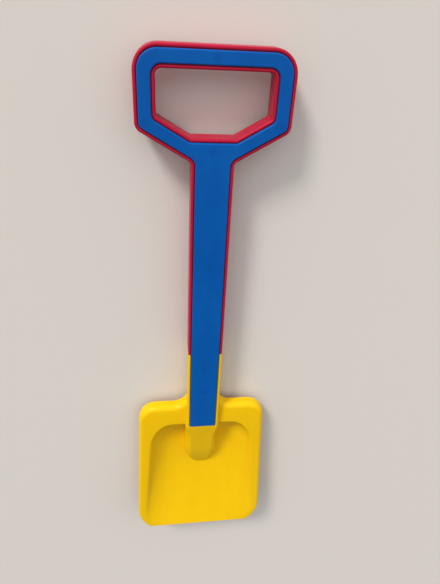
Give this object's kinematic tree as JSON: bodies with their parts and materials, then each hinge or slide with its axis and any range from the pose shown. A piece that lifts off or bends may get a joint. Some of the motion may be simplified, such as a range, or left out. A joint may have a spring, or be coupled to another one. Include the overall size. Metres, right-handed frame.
{
  "type": "sand shovel",
  "caption": "Child's beach shovel with a D-grip, a flat channel shaft with an inlaid front cover, and a broad open scoop blade for digging sand or snow.",
  "frame": {"origin": "middle of the overall width and length, on the ground that the shovel lies on with its back", "axes": "+Y along the shaft from the tip to the grip, +Z out of the front with the scoop and the cover, +X across the shovel to the right as seen from the front with the grip up"},
  "size_m": [0.144, 0.52, 0.0278],
  "materials": {
    "red_plastic": "satin moulded plastic",
    "blue_plastic": "satin moulded plastic",
    "yellow_plastic": "satin moulded plastic",
    "screw_steel": "zinc plated"
  },
  "bodies": {
    "root": {"handle_body": "red_plastic", "front_cover": "blue_plastic", "blade": "yellow_plastic", "handle_screws": "screw_steel", "socket_screws": "screw_steel"}
  },
  "joints": []
}
